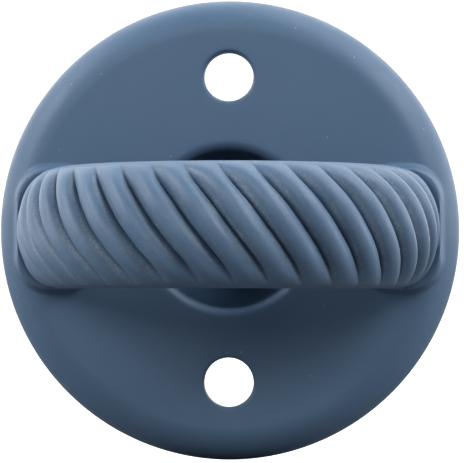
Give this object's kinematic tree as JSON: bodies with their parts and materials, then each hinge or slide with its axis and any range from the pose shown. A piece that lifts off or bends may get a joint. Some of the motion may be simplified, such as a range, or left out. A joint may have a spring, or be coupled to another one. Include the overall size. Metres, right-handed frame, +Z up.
{
  "type": "baby pacifier",
  "caption": "One-piece silicone baby pacifier: round vented shield, rope-twist half-ring handle on the front, hollow rounded teat on the back.",
  "frame": {"origin": "centre of the shield's flat front face, midway between the two vent holes", "axes": "+Y back through the teat, -Y out of the handle, +X along the handle to its right foot, +Z up"},
  "size_m": [0.047, 0.053, 0.047],
  "materials": {
    "silicone": "matt moulded silicone, slate blue"
  },
  "bodies": {
    "soother_body": {"shield": "silicone", "handle_foot_left": "silicone", "handle_foot_right": "silicone", "teat_collar": "silicone", "teat_neck": "silicone"},
    "handle": {"handle_arch": "silicone", "handle_leg_left": "silicone", "handle_leg_right": "silicone"},
    "teat_end": {"teat_bulb": "silicone"}
  },
  "joints": [
    {"name": "handle_flex", "type": "hinge", "parent": "soother_body", "child": "handle", "pos_m": [0, -0.0039, 0], "axis": [1, 0, 0], "range_deg": [-15, 15], "stiffness_Nm_per_rad": 0.25, "deforming": ["handle_leg_left", "handle_leg_right"]},
    {"name": "teat_bend", "type": "hinge", "parent": "soother_body", "child": "teat_end", "pos_m": [0, 0.013, 0], "axis": [1, 0, 0], "range_deg": [-20, 20], "stiffness_Nm_per_rad": 0.08, "deforming": ["teat_neck"]}
  ]
}
